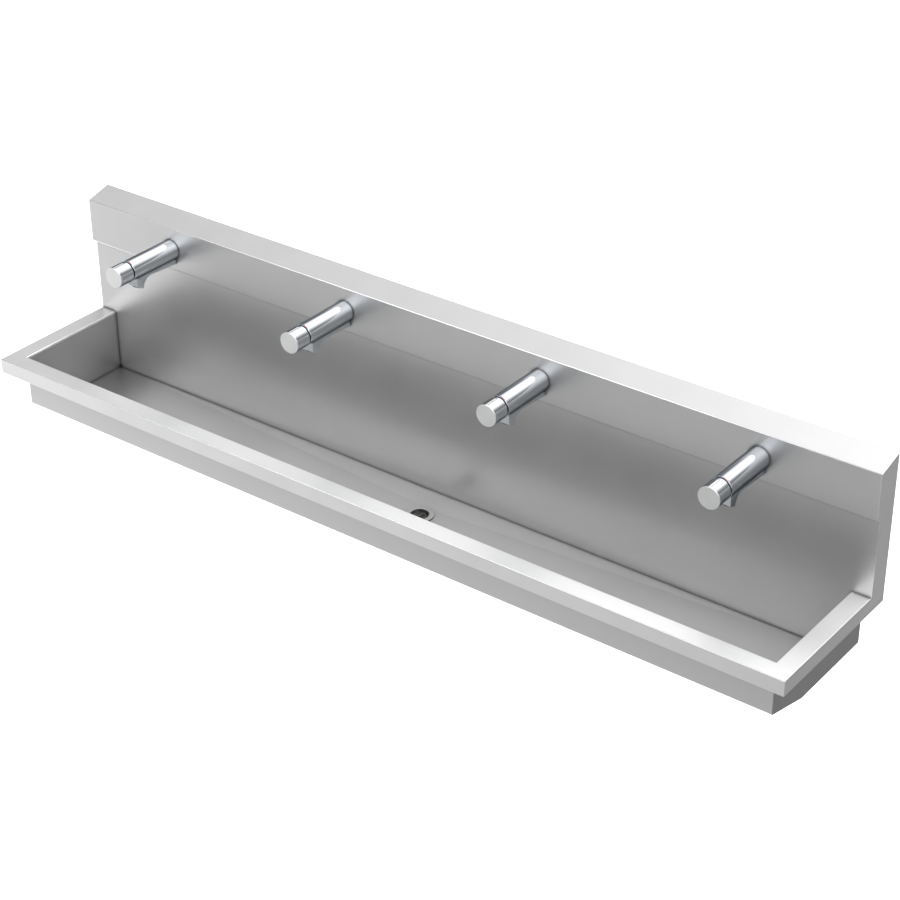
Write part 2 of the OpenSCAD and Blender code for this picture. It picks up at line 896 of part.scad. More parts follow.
module waste_strainer() {
  r = throat_r - fit;
  z0 = z_strainer - strainer_thickness;
  boss_r = screw_head / 2 + strainer_boss;
  middle = (r + boss_r) / 2;
  color(steel) at_waste() difference() {
    union() {
      ring(r, r - strainer_bar, z0, z_strainer);
      ring(middle + strainer_bar / 2, middle - strainer_bar / 2, z0, z_strainer);
      post(boss_r, z0, z_strainer);
      for (a = [0, 90]) rotate([0, 0, a]) translate([strainer_bar / 2 - r, -strainer_bar / 2, z0])
        cube([2 * r - strainer_bar, strainer_bar, strainer_thickness]);
    }
    post(screw_diameter / 2 + fit, z0 - cut, z_strainer + cut);
  }
}

module waste_screw() {
  z_top = z_strainer + screw_height;
  color(steel) at_waste() difference() {
    union() {
      post(screw_head / 2, z_strainer, z_top);
      post(screw_diameter / 2, z_cup_end, z_strainer + cut);
    }
    translate([-screw_head / 2, -screw_slot / 2, z_top - screw_slot])
      cube([screw_head, screw_slot, screw_slot + cut]);
  }
}

module waste_seals() {
  r = flange_diameter / 2;
  inner = throat_r + throat_wall + fit;
  color("black") at_waste() {
    ring(r - bevel, inner, 0, seal);
    ring(r - bevel, inner, z_cup, -sheet);
  }
}

module waste_body() {
  cup_r = throat_r + throat_wall + fit;
  color("whitesmoke") at_waste() {
    difference() {
      union() {
        post(flange_diameter / 2, z_cup - waste_wall, z_cup);
        post(cup_r + waste_wall, z_tail, z_cup);
      }
      post(cup_r, z_cup_end, z_cup + cut);
      post(tail_bore, z_tail - cut, z_cup);
    }
    difference() {
      translate([-cup_r - waste_wall / 2, -bridge_width / 2, z_cup_end])
        cube([2 * cup_r + waste_wall, bridge_width, bridge_height]);
      post(screw_diameter / 2 + fit, z_cup_end - cut, z_cup);
    }
  }
}

module waste_tail() {
  color("whitesmoke") at_waste() ring(tail_r, tail_bore, z_tail - tail_length, z_tail);
}

trough_pan();
splashback();
front_rim();
end_left();
end_right();
basin_end_left();
basin_end_right();
hanging_rail();
wall_bracket_left();
wall_bracket_right();
hot_rail();
cold_rail();
rail_clips();
inlet_blocks();
back_nuts();
tap_gaskets();
hot_marks();
cold_marks();
waste_flange();
waste_strainer();
waste_screw();
waste_seals();
waste_body();
waste_tail();
for (i = [1:tap_count]) {
  at_tap(i) tap_body();
  at_tap(i) spout();
  at_tap(i) aerator();
  at_tap(i) cartridge();
  at_tap(i) stem();
  at_tap(i) return_spring();
  at_tap(i) cap();
  at_tap(i) cap_face();
  at_tap(i) pointer();
}
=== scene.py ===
import math

import bmesh
import bpy
from bpy.props import FloatProperty, FloatVectorProperty, IntProperty, PointerProperty
from mathutils import Matrix, Vector


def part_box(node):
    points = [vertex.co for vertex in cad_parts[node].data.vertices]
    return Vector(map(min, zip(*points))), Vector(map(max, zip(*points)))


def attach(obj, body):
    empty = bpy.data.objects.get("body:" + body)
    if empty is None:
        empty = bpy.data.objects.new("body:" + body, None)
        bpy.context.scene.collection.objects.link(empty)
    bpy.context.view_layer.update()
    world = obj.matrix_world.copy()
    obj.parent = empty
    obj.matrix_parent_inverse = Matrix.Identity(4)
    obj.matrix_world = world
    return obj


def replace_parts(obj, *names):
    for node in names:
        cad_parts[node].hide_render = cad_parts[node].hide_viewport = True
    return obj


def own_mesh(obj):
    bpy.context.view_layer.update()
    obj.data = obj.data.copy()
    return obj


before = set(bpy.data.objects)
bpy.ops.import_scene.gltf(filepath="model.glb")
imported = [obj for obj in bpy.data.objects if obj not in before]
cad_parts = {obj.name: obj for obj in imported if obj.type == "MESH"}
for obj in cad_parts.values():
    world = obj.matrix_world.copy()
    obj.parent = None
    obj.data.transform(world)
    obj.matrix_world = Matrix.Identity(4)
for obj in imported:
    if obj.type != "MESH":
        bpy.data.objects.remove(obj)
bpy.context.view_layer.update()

bl_info = {
    "name": "Trough Sink Dressing",
    "version": (1, 0, 0),
    "blender": (4, 5, 0),
    "location": "3D View > Sidebar > Trough Sink",
    "description": "Dresses the packed trough sink with its finishes, seams, threads and studio",
    "category": "Object",
}

TAPS = 4
MM = 0.001
ROOT = "trough"

SMOOTH_ANGLE = math.radians(30)
BEVEL_ANGLE = math.radians(40)
# Share of its surroundings that a spot in a corner sees, where an open face sees 1.
CORNER_VIEW = 0.4
MOULDED_EDGE = 0.4 * MM
CAST_EDGE = 0.8 * MM
# Half the floor's width and the radius of the backdrop, in metres.
STAGE_REACH = 30


def linear(hex_colour):
    """The linear colour of an sRGB hex value."""
    channels = [int(hex_colour[i:i + 2], 16) / 255 for i in (0, 2, 4)]
    return tuple(c / 12.92 if c <= 0.04045 else ((c + 0.055) / 1.055) ** 2.4 for c in channels)


def middle(node):
    """The middle of a frame node's box."""
    low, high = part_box(node)
    return (low + high) / 2


# Settings


def colour(name, description, hex_colour):
    return FloatVectorProperty(
        name=name, description=description, subtype="COLOR", size=3, min=0, max=1,
        default=linear(hex_colour))


def length(name, description, millimetres, most=100):
    return FloatProperty(
        name=name, description=description, unit="LENGTH", min=0, max=most * MM, precision=5,
        default=millimetres * MM)


def length_at(name, description, millimetres):
    return FloatProperty(
        name=name, description=description, unit="LENGTH", precision=5, default=millimetres * MM)


def share(name, description, value):
    return FloatProperty(name=name, description=description, subtype="FACTOR", min=0, max=1, default=value)


def angle(name, description, degrees):
    return FloatProperty(name=name, description=description, subtype="ANGLE", default=math.radians(degrees))


def power(name, description, strength):
    return FloatProperty(name=name, description=description, min=0, default=strength)


class SheetSettings(bpy.types.PropertyGroup):
    """Sizes and colour of the folded stainless sheet"""

    # Painted light and shade: these five colours are one and the same steel. Each place gets its own tone,
    # the rims lightest and the bowl's floor and end walls darkest.
    tone: colour("Rim steel", "Reflected colour of the ground rims and ends", "F3F3F3")
    back: colour("Splashback steel", "Reflected colour of the ground splashback", "DFDFDF")
    bowl: colour("Bowl steel", "Reflected colour of the bowl's duller floor", "BABABA")
    front: colour("Bowl front steel", "Reflected colour of the bowl's front wall", "DADADA")
    walls: colour("End wall steel", "Reflected colour of the bowl's two end walls", "B8B8B8")
    roughness: share("Roughness", "Roughness of the satin-ground sheet", 0.38)
    grain_width: length("Grain width", "Width of one grinding line as drawn", 0.8)
    grain_length: length("Grain length", "Length of one grinding line", 60)
    # Painted shade: the strainer sits in a recess and is given a dark colour for it.
    basket_shade: colour("Basket steel", "Reflected colour of the waste's stained strainer", "6E6E6C")
    # Painted shade: the settings below darken the sheet in seams and folds, and deep in the bowl, by how
    # much of its surroundings a spot sees.
    seam_shade_reach: length("Seam reach", "Distance from a seam or fold that the belt misses", 13)
    seam_shade_tone: share("Seam tone", "Tone in a seam, as a share of the open sheet's", 0.22)
    fold_shine: share("Fold shine", "Roughness that the bending tool takes off a fold", 0.24)
    deep_shade_reach: length("Dull reach", "Distance from a wall within which the sheet is ground less", 140, 300)
    deep_shade_tone: share("Dull tone", "Tone deep in the bowl, as a share of the open sheet's", 0.65)
    splashback_deep_shade: share("Dull splashback", "The same for the splashback, which the belt reaches better", 1)
    edge: length("Edge", "Bevel on the sheet's cut edges", 0.3)
    bead: length("Bead", "Radius of the ground weld beads in the bowl's corners", 1.6)
    # The beads are darker partly for their dull, heat-tinted weld and partly as painted shade, a dark line
    # in the bowl's corners.
    bead_tint_and_shade: colour("Bead steel", "Reflected colour of the dull weld beads", "808080")
    stitch: length("Stitch", "Length of one stitch weld behind the splashback", 24)
    stitch_pitch: length("Stitch spacing", "Distance between the stitch welds", 150, 400)
    bowl_width: length("Bowl width", "Inside of the bowl from front to back", 335, 500)
    floor_width: length("Floor width", "Floor of the bowl from its fold to the back", 201, 400)
    front_wall: length("Front wall", "Upright part of the front wall, below the rim's lip", 134, 300)


class TapSettings(bpy.types.PropertyGroup):
    """Sizes and colours of the taps"""

    chrome: colour("Chrome", "Reflected colour of the chrome plating", "D4D8DD")
    face: colour("Cap face", "Reflected colour of the satin cap face", "F0F1F1")
    hot: colour("Hot mark", "Enamel of the hot mark", "B4234A")
    cold: colour("Cold mark", "Enamel of the cold mark", "2B7A8C")
    haze: share("Haze", "Roughness of the chrome plating", 0.08)
    # Painted shade: the chrome is drawn dark near a groove's root.
    groove_shade_reach: length("Groove reach", "Distance from a groove's root where the plating is dark", 3)
    edge: length("Edge", "Bevel on the chrome's edges", 0.35)
    thread_pitch: length("Thread pitch", "Pitch of the shank's thread", 1.5)
    thread_height: length("Thread height", "Height of the shank's thread", 0.4)
    spring_wire: length("Spring wire", "Wire diameter of the return spring", 1.4)
    spring_turns: FloatProperty(
        name="Spring turns", description="Turns of the return spring", min=2, default=4.5)
    press_travel: length("Press travel", "Travel of the cap", 4.5)
    shank: length("Shank", "Outer diameter of the threaded shank", 32)
    outlet_place: length_at("Outlet place", "Y of the aerator's middle", -213.5)
    outlet_drop: length("Outlet drop", "Depth of the aerator's middle below the tap's axis", 54.9)
    outlet_angle: angle("Outlet angle", "Slant of the outlet", 25)
    sieve: length("Sieve", "Radius of the aerator's mouth", 8.3)
    sieve_pitch: length("Sieve pitch", "Distance between the sieve's bars", 1.5)
    sieve_depth: length("Sieve depth", "Height of the sieve below the outlet", 0.9)


class SupplySettings(bpy.types.PropertyGroup):
    """Sizes and colours of the supply pipes, the nuts and the waste"""

    copper: colour("Copper", "Reflected colour of the drawn pipes", "C88A6A")
    brass: colour("Brass", "Reflected colour of the brass fittings", "CDB478")
    plastic: colour("Waste plastic", "Moulded polypropylene of the waste", "D9D8D3")
    pipe: length("Pipe", "Outer diameter of the supply pipes", 18)
    pipe_place: length_at("Pipe place", "Y of the pipes' axes", -32)
    sleeve: length("Sleeve wall", "Wall of the soldered tee and end caps", 1.2)
    tee: length("Tee", "Length of the tee along the pipe", 44)
    branch: length("Branch", "Diameter of the tee's branch", 24.4)
    inlet: length("Inlet", "Length of the threaded inlet", 18)
    inlet_crest: length("Inlet crest", "Outer radius of the G 1/2 thread", 10.48)
    inlet_depth: length("Inlet depth", "Depth of the G 1/2 thread", 1.16)
    inlet_pitch: length("Inlet pitch", "Pitch of the G 1/2 thread", 1.814)
    tail_pitch: length("Tail pitch", "Pitch of the G 1 1/2 thread", 2.309)
    tail_depth: length("Tail depth", "Depth of the G 1 1/2 thread", 1.48)
    tail_wall: length("Tail wall", "Wall of the waste's tail", 2.9)
    cup: length("Cup", "Outer diameter of the waste's cup", 61.2)
    rib: length("Rib", "Thickness of the cup's ribs", 2)
    ribs: IntProperty(name="Ribs", description="Number of ribs round the cup", min=0, default=12)
    clip_offset: length("Clip offset", "Distance of a pipe clip from its tap", 100, 300)
    clip_width: length("Clip width", "Width of a pipe clip", 16)


class StageSettings(bpy.types.PropertyGroup):
    """The floor, the lights and the camera"""

    floor: colour("Floor", "Colour of the matt floor", "F4F4F2")
    drop: length("Floor depth", "Depth of the floor below the wall fixing", 930, 3000)
    glow: power("Floor glow", "Light that the floor and the backdrop give off themselves", 0.7)
    sky: power("Sky", "Strength of the even light from all sides", 0.3)
    azimuth: angle("Azimuth", "Direction of the camera round the trough", 37.41)
    elevation: angle("Elevation", "Height of the camera above the horizon", 30.8)
    roll: angle("Roll", "Turn of the camera about its own axis", -0.39)
    distance: length("Distance", "Distance of the camera along its axis", 5413.66, 10000)
    aim_right: length("Aim right", "Place of the aimed point right of the axis", 20.06, 1000)
    aim_up: length("Aim up", "Place of the aimed point above the axis", 344.33, 1000)
    lens: FloatProperty(name="Lens", description="Focal length", subtype="DISTANCE_CAMERA", default=88.14)


# Materials


def add(tree, kind, sockets=None, links=None, **settings):
    """Adds a node with its settings, the values of its sockets, and the links that come into it."""
    made = tree.nodes.new(kind)
    for name, value in settings.items():
        setattr(made, name, value)
    for name, value in (sockets or {}).items():
        made.inputs[name].default_value = value
    for name, source in (links or {}).items():
        tree.links.new(source, made.inputs[name])
    return made


def opaque(rgb):
    return (rgb[0], rgb[1], rgb[2], 1)


def new_material(name):
    material = bpy.data.materials.new(name)
    material.use_nodes = True
    material.node_tree.nodes.clear()
    return material, material.node_tree


def close_material(tree, sockets, links):
    shader = add(tree, "ShaderNodeBsdfPrincipled", sockets, links)
    add(tree, "ShaderNodeOutputMaterial", links={"Surface": shader.outputs["BSDF"]})


def grain(tree, width, run, along):
    """Noise drawn out into lines: width across them and run along the axis 0, 1 or 2, in metres."""
    place = add(tree, "ShaderNodeTexCoord").outputs["Object"]
    scale = [1 / width] * 3
    scale[along] = 1 / run
    lines = add(tree, "ShaderNodeMapping", {"Scale": scale}, {"Vector": place})
    return add(
        tree, "ShaderNodeTexNoise", {"Scale": 1.0, "Detail": 2.0, "Roughness": 0.6},
        {"Vector": lines.outputs["Vector"]}).outputs["Fac"]


def cloud(tree, size):
    """Soft noise with patches of about that size, in metres."""
    place = add(tree, "ShaderNodeTexCoord").outputs["Object"]
    return add(
        tree, "ShaderNodeTexNoise", {"Scale": 1 / size, "Detail": 3.0, "Roughness": 0.5},
        {"Vector": place}).outputs["Fac"]


def spread(tree, source, low, high):
    """Maps noise, which lies near the middle of 0 to 1, to low to high."""
    return add(
        tree, "ShaderNodeMapRange", {"From Min": 0.3, "From Max": 0.7, "To Min": low, "To Max": high},
        {"Value": source}).outputs["Result"]


def both(tree, first, second):
    return add(tree, "ShaderNodeMath", links={0: first, 1: second}, operation="ADD").outputs["Value"]


def openness(tree, reach):
    """1 on an open face, falling to 0.5 and below in a fold or corner, within that reach in metres."""
    return add(tree, "ShaderNodeAmbientOcclusion", {"Distance": reach}, samples=6).outputs["AO"]


def stretch(tree, source, start, end, low, high):
    """Maps start to end onto low to high, and holds it there beyond them."""
    return add(
        tree, "ShaderNodeMapRange", {"From Min": start, "From Max": end, "To Min": low, "To Max": high},
        {"Value": source}).outputs["Result"]


def relief(tree, height, depth):
    """A normal from a height pattern of that depth in metres."""
    bump = add(tree, "ShaderNodeBump", {"Strength": 1.0, "Distance": depth}, {"Height": height})
    return bump.outputs["Normal"]


def tint(tree, source, dark, light):
    return add(
        tree, "ShaderNodeMix", {"A": opaque(dark), "B": opaque(light)}, {"Factor": source},
        data_type="RGBA").outputs["Result"]


def shade(rgb, factor):
    return tuple(min(1, c * factor) for c in rgb)


def satin_stainless(name, settings, rgb, along, dull, front=None):
    """Stainless sheet 1.4301, belt-ground with grit 240: the lines run one way and blur what it reflects.
    The real lines are 0.1 mm wide, too fine to show, so they are drawn as wide as the settings say. Corners
    and seams are painted darker, most of all where two sheets meet, and so is the deep bowl: painted shade,
    by how much of its surroundings a spot sees. The folds are rubbed smoother by the bending tool, so they
    catch thin lines of light. Upright faces along the front have their own colour where one is given:
    painted light and shade on the same steel."""
    material, tree = new_material(name)
    lines = grain(tree, settings.grain_width, settings.grain_length, along)
    patches = cloud(tree, 120 * MM)
    rough = both(
        tree, spread(tree, lines, settings.roughness - 0.03, settings.roughness + 0.03),
        spread(tree, patches, -0.015, 0.015))
    facing = add(tree, "ShaderNodeTexCoord").outputs["Normal"]
    facing = add(tree, "ShaderNodeVectorMath", links={0: facing}, operation="ABSOLUTE").outputs["Vector"]
    facing = add(tree, "ShaderNodeSeparateXYZ", links={"Vector": facing}).outputs
    square = add(
        tree, "ShaderNodeMath", links={0: facing["X"], 1: facing["Y"]}, operation="MAXIMUM").outputs["Value"]
    square = add(
        tree, "ShaderNodeMath", links={0: square, 1: facing["Z"]}, operation="MAXIMUM").outputs["Value"]
    rough = both(tree, rough, stretch(tree, square, 0.9, 0.95, -settings.fold_shine, 0))
    ground = tint(tree, spread(tree, patches, 0, 1), shade(rgb, 0.97), rgb)
    # Painted light and shade: faces that look along Y take their own tone, unlike the rest of the same
    # sheet.
    if front is not None:
        upright = stretch(tree, facing["Y"], 0.5, 0.9, 0, 1)
        ground = add(
            tree, "ShaderNodeMix", {"B": opaque(front)}, {"Factor": upright, "A": ground},
            data_type="RGBA").outputs["Result"]
    # Painted shade: seams and folds within the seam reach, and spots deep in the bowl within the wider
    # reach, get a darker colour, by how much of their surroundings they see.
    seam = stretch(tree, openness(tree, settings.seam_shade_reach), CORNER_VIEW, 0.85, settings.seam_shade_tone, 1)
    bowl = stretch(tree, openness(tree, settings.deep_shade_reach), CORNER_VIEW, 0.9, dull, 1)
    painted_shade = add(tree, "ShaderNodeMath", links={0: seam, 1: bowl}, operation="MULTIPLY").outputs["Value"]
    tone = add(
        tree, "ShaderNodeMix", {"Factor": 1.0}, {"A": ground, "B": painted_shade}, data_type="RGBA",
        blend_type="MULTIPLY").outputs["Result"]
    close_material(
        tree, {"Metallic": 1.0},
        {"Base Color": tone, "Roughness": rough, "Normal": relief(tree, lines, 0.0005 * MM)})
    return material


def polished_chrome(name, rgb, roughness, groove_shade_reach):
    """Chrome plating on polished brass: a clear mirror that dims towards its outline, with a faint haze. The
    grooves are painted dark near their root: painted shade, by how much of its surroundings a spot sees."""
    material, tree = new_material(name)
    haze = spread(tree, cloud(tree, 20 * MM), roughness * 0.8, roughness * 1.2)
    # Painted shade: the chrome's colour falls nearly to black near a groove's root.
    groove = stretch(tree, openness(tree, groove_shade_reach), CORNER_VIEW, 0.85, 0, 1)
    close_material(
        tree, {"Metallic": 1.0, "Specular Tint": (0.12, 0.13, 0.15, 1)},
        {"Roughness": haze, "Base Color": tint(tree, groove, shade(rgb, 0.12), rgb)})
    return material


def turned_satin_chrome(name, rgb):
    """Satin chrome plating over fine turning marks: nearly white, with a soft sheen that runs round the
    middle. The real marks are 0.15 mm apart, too fine to show, so they are drawn as patches of 0.6 mm."""
    material, tree = new_material(name)
    place = add(tree, "ShaderNodeTexCoord").outputs["Object"]
    fine = add(tree, "ShaderNodeTexNoise", {"Scale": 1 / (0.6 * MM), "Detail": 1.0}, {"Vector": place})
    rough = spread(tree, fine.outputs["Fac"], 0.38, 0.46)
    turn = add(tree, "ShaderNodeTangent", direction_type="RADIAL", axis="Y").outputs["Tangent"]
    close_material(
        tree, {"Base Color": opaque(rgb), "Metallic": 1.0, "Anisotropic": 0.25},
        {"Roughness": rough, "Tangent": turn, "Normal": relief(tree, fine.outputs["Fac"], 0.002 * MM)})
    return material


def moulded_plastic(name, rgb, roughness):
    """Injection-moulded plastic: a soft sheen over an even spark-eroded texture."""
    material, tree = new_material(name)
    skin = cloud(tree, 0.6 * MM)
    flow = cloud(tree, 30 * MM)
    tone = tint(tree, spread(tree, flow, 0, 1), shade(rgb, 0.93), rgb)
    close_material(
        tree, {"Metallic": 0.0, "IOR": 1.49},
        {"Base Color": tone, "Normal": relief(tree, skin, 0.01 * MM),
         "Roughness": spread(tree, skin, roughness - 0.05, roughness + 0.05)})
    return material


def fired_enamel(name, rgb):
    """Coloured enamel filled into a groove: smooth and glossy with a slightly uneven surface."""
    material, tree = new_material(name)
    waves = cloud(tree, 3 * MM)
    tone = tint(tree, spread(tree, waves, 0, 1), shade(rgb, 0.9), rgb)
    close_material(
        tree, {"Metallic": 0.0, "IOR": 1.52, "Roughness": 0.22},
        {"Base Color": tone, "Normal": relief(tree, waves, 0.03 * MM)})
    return material


def turned_metal(name, rgb, roughness, patch):
    """Turned or drawn metal left bare: fine tool lines and a slightly clouded tarnish."""
    material, tree = new_material(name)
    lines = cloud(tree, 0.5 * MM)
    tarnish = cloud(tree, patch)
    tone = tint(tree, spread(tree, tarnish, 0, 1), shade(rgb, 0.72), rgb)
    rough = both(
        tree, spread(tree, lines, roughness - 0.04, roughness + 0.04), spread(tree, tarnish, 0.06, -0.02))
    close_material(
        tree, {"Metallic": 1.0},
        {"Base Color": tone, "Roughness": rough, "Normal": relief(tree, lines, 0.006 * MM)})
    return material


def galvanised_steel(name):
    """Hot-dip galvanised plate: grey zinc crystals 6 to 10 mm across, each with its own tone."""
    material, tree = new_material(name)
    place = add(tree, "ShaderNodeTexCoord").outputs["Object"]
    crystals = add(tree, "ShaderNodeTexVoronoi", {"Scale": 1 / (8 * MM)}, {"Vector": place})
    facet = add(tree, "ShaderNodeSeparateColor", links={"Color": crystals.outputs["Color"]}).outputs["Red"]
    tone = tint(tree, facet, linear("8F9396"), linear("B4B7B9"))
    rough = add(
        tree, "ShaderNodeMapRange", {"To Min": 0.32, "To Max": 0.5}, {"Value": facet}).outputs["Result"]
    close_material(tree, {"Metallic": 1.0}, {"Base Color": tone, "Roughness": rough})
    return material


def moulded_rubber(name):
    """EPDM rubber gasket: black and matt, with a dusty bloom in patches."""
    material, tree = new_material(name)
    bloom = cloud(tree, 10 * MM)
    tone = tint(tree, spread(tree, bloom, 0, 1), linear("101010"), linear("232323"))
    close_material(
        tree, {"Metallic": 0.0, "IOR": 1.52},
        {"Base Color": tone, "Roughness": spread(tree, bloom, 0.7, 0.85),
         "Normal": relief(tree, cloud(tree, 1 * MM), 0.02 * MM)})
    return material


def opal_acrylic(name, rgb, glow):
    """Opal acrylic of a light table: matt white, faintly cloudy, lit from behind so that no shadow shows."""
    material, tree = new_material(name)
    tone = tint(tree, spread(tree, cloud(tree, 500 * MM), 0, 1), shade(rgb, 0.99), rgb)
    close_material(
        tree, {"Metallic": 0.0, "Roughness": 0.9, "IOR": 1.49, "Emission Color": opaque(rgb),
               "Emission Strength": glow},
        {"Base Color": tone})
    material.cycles.emission_sampling = "NONE"
    return material


def finish_nodes(material, *names):
    for name in names:
        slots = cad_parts[name].data.materials
        slots.clear()
        slots.append(material)


# Meshes


def smooth_by_angle():
    """A geometry node group that shades smooth, with edges over 30 degrees kept sharp."""
    name = "smooth_by_angle"
    if name in bpy.data.node_groups:
        return bpy.data.node_groups[name]
    tree = bpy.data.node_groups.new(name, "GeometryNodeTree")
    tree.interface.new_socket("Geometry", in_out="INPUT", socket_type="NodeSocketGeometry")
    tree.interface.new_socket("Geometry", in_out="OUTPUT", socket_type="NodeSocketGeometry")
    start = add(tree, "NodeGroupInput")
    edge = add(tree, "GeometryNodeInputMeshEdgeAngle")
    blunt = add(
        tree, "FunctionNodeCompare", {"B": SMOOTH_ANGLE}, {"A": edge.outputs["Unsigned Angle"]},
        data_type="FLOAT", operation="LESS_THAN")
    bare = add(
        tree, "GeometryNodeRemoveAttribute", {"Name": "custom_normal"}, {"Geometry": start.outputs[0]})
    faces = add(tree, "GeometryNodeSetShadeSmooth", {}, {"Geometry": bare.outputs[0]}, domain="FACE")
    edges = add(
        tree, "GeometryNodeSetShadeSmooth", {},
        {"Geometry": faces.outputs[0], "Shade Smooth": blunt.outputs["Result"]}, domain="EDGE")
    add(tree, "NodeGroupOutput", links={0: edges.outputs[0]})
    return tree


def add_bevel(thing, width):
    """Rounds the edges over 40 degrees by modifiers alone, so that they catch the light, and keeps the faces
    beside them flat to the eye."""
    bevel = thing.modifiers.new("bevel", "BEVEL")
    bevel.width = width
    bevel.segments = 2
    bevel.limit_method = "ANGLE"
    bevel.angle_limit = BEVEL_ANGLE
    shading = thing.modifiers.new("shading", "NODES")
    shading.node_group = smooth_by_angle()
    flats = thing.modifiers.new("flats", "WEIGHTED_NORMAL")
    flats.keep_sharp = True


def soften(names, width):
    """Eases the edges of frame nodes."""
    for name in names:
        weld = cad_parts[name].modifiers.new("weld", "WELD")
        weld.merge_threshold = 0.002 * MM
        add_bevel(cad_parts[name], width)


def make_piece(name, parts, body, material, edge=0.0):
    """A piece from closed parts in the shared frame, smooth up to 30 degrees, that rides on a body."""
    points, faces = joined(parts)
    mesh = bpy.data.meshes.new(name)
    mesh.from_pydata([tuple(p) for p in points], [], faces)
    made = bmesh.new()
    made.from_mesh(mesh)
    bmesh.ops.recalc_face_normals(made, faces=made.faces)
    made.to_mesh(mesh)
    made.free()
    for polygon in mesh.polygons:
        polygon.use_smooth = True
    mesh.set_sharp_from_angle(angle=SMOOTH_ANGLE)
    mesh.materials.append(material)
    piece = bpy.data.objects.new(name, mesh)
    bpy.context.scene.collection.objects.link(piece)
    if edge:
        add_bevel(piece, edge)
    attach(piece, body)
    return piece


def joined(parts):
    """Several lists of points and faces as one."""
    points, faces = [], []
    for part_points, part_faces in parts:
        start = len(points)
        points += part_points
        faces += [tuple(i + start for i in face) for face in part_faces]
    return points, faces


def rings(rows, closed=False):
    """A closed skin over rows of points, each row a ring; the last row joins the first or both get a cap."""
    count = len(rows[0])
    points = [p for row in rows for p in row]
    faces = []
    for r in range(len(rows) if closed else len(rows) - 1):
        for k in range(count):
            a, b = r * count + k, r * count + (k + 1) % count
            step = count if r < len(rows) - 1 else -r * count
            faces.append((a, b, b + step, a + step))
    if not closed:
        faces.append(tuple(range(count)))
        faces.append(tuple(reversed(range(len(points) - count, len(points)))))
    return points, faces


def round_axis(axis):
    """Two directions square to an axis, and the axis itself."""
    x, y, z = Vector((1, 0, 0)), Vector((0, 1, 0)), Vector((0, 0, 1))
    return {"x": (y, z, x), "y": (x, z, y), "z": (x, y, z)}[axis]


def turned_ring(radius_at, place, centre, axis, steps):
    """One ring of points round an axis; radius_at gives the radius at a share of the turn."""
    one, other, along = round_axis(axis)
    ring = []
    for k in range(steps):
        turn = 2 * math.pi * k / steps
        out = one * math.cos(turn) + other * math.sin(turn)
        ring.append(centre + out * radius_at(k / steps) + along * place)
    return ring


def lathe(profile, centre, axis, steps=64, closed=True):
    """A solid turned from pairs of radius and place along the axis, ring-shaped where it is closed."""
    rows = [turned_ring(lambda turn, r=r: r, place, centre, axis, steps) for r, place in profile]
    return rings(rows, closed)


def threaded_tube(centre, axis, crest, depth, pitch, start, end, bore, steps=48):
    """A tube with a rounded thread outside, run out and chamfered at both ends, and a plain bore."""
    rows_per_pitch = 8
    count = math.ceil((end - start) / pitch * rows_per_pitch)
    rows = []
    for i in range(count + 1):
        place = start + (end - start) * i / count
        run_out = min(depth, (min(place - start, end - place)) * 0.8)

        def radius_at(turn):
            wave = 0.5 - 0.5 * math.cos(2 * math.pi * (place / pitch - turn))
            return min(crest - depth * wave, crest - depth + run_out)

        rows.append(turned_ring(radius_at, place, centre, axis, steps))
    for place in (end, start):
        rows.append(turned_ring(lambda turn: bore, place, centre, axis, steps))
    return rings(rows, closed=True)


def hex_nut(centre, flats, bore, start, end, steps=96):
    """A hexagon nut round the Y axis, its corners chamfered at both ends."""
    face = flats * 0.475
    lead = flats * 0.012

    def corner_at(turn):
        return flats / 2 / math.cos(math.radians((turn * 360) % 60 - 30))

    rows = [
        turned_ring(lambda turn: bore, start + lead, centre, "y", steps),
        turned_ring(lambda turn: bore + lead, start, centre, "y", steps),
        turned_ring(lambda turn: face, start, centre, "y", steps),
        turned_ring(corner_at, start, centre, "y", steps),
        turned_ring(corner_at, end, centre, "y", steps),
        turned_ring(lambda turn: face, end, centre, "y", steps),
        turned_ring(lambda turn: bore + lead, end, centre, "y", steps),
        turned_ring(lambda turn: bore, end - lead, centre, "y", steps)]
    for row, toward in ((rows[3], 1), (rows[4], -1)):
        for k, point in enumerate(row):
            point.y += toward * (corner_at(k / steps) - face) * 0.7
    return rings(rows, closed=True)


def swept(path, radius, sides=10):
    """A bar along a path of points; radius is one number or a list with one for each point."""
    rows = []
    for i, point in enumerate(path):
        ahead = (path[min(i + 1, len(path) - 1)] - path[max(i - 1, 0)]).normalized()
        side = ahead.cross(Vector((0, 0, 1)))
        if side.length < 1e-3:
            side = ahead.cross(Vector((0, 1, 0)))
        side.normalize()
        out = side.cross(ahead)
        r = radius[i] if isinstance(radius, list) else radius
        turns = [2 * math.pi * (k + 0.5) / sides for k in range(sides)]
        rows.append([point + (side * math.cos(t) + out * math.sin(t)) * r for t in turns])
    return rings(rows)


def corner_bead(path, side, inside, radius, steps=5):
    """A ground weld bead in an inside corner along a path: side points along one of its faces, and the
    other face is square to it, on the side of the point inside. Its back is sunk into the sheets."""
    sunk = -0.15 * radius
    arc = []
    for k in range(steps + 1):
        turn = math.pi / 2 * k / steps
        arc.append((radius * (1 - math.sin(turn)), radius * (1 - math.cos(turn))))
    outline = arc + [(sunk, radius), (sunk, sunk), (radius, sunk)]
    normals = []
    for a, b in zip(path, path[1:]):
        normal = side.cross(b - a).normalized()
        normals.append(normal if normal.dot(inside - a) > 0 else -normal)
    rows = []
    for i, point in enumerate(path):
        before, after = normals[max(i - 1, 0)], normals[min(i, len(normals) - 1)]
        out = (before + after) / (1 + before.dot(after))
        rows.append([point + side * a + out * b for a, b in outline])
    return rings(rows)


def extruded(outline, x0, x1):
    """A flat outline of Y and Z pairs, drawn out along X."""
    return rings([[Vector((x, y, z)) for y, z in outline] for x in (x0, x1)])


# Operators


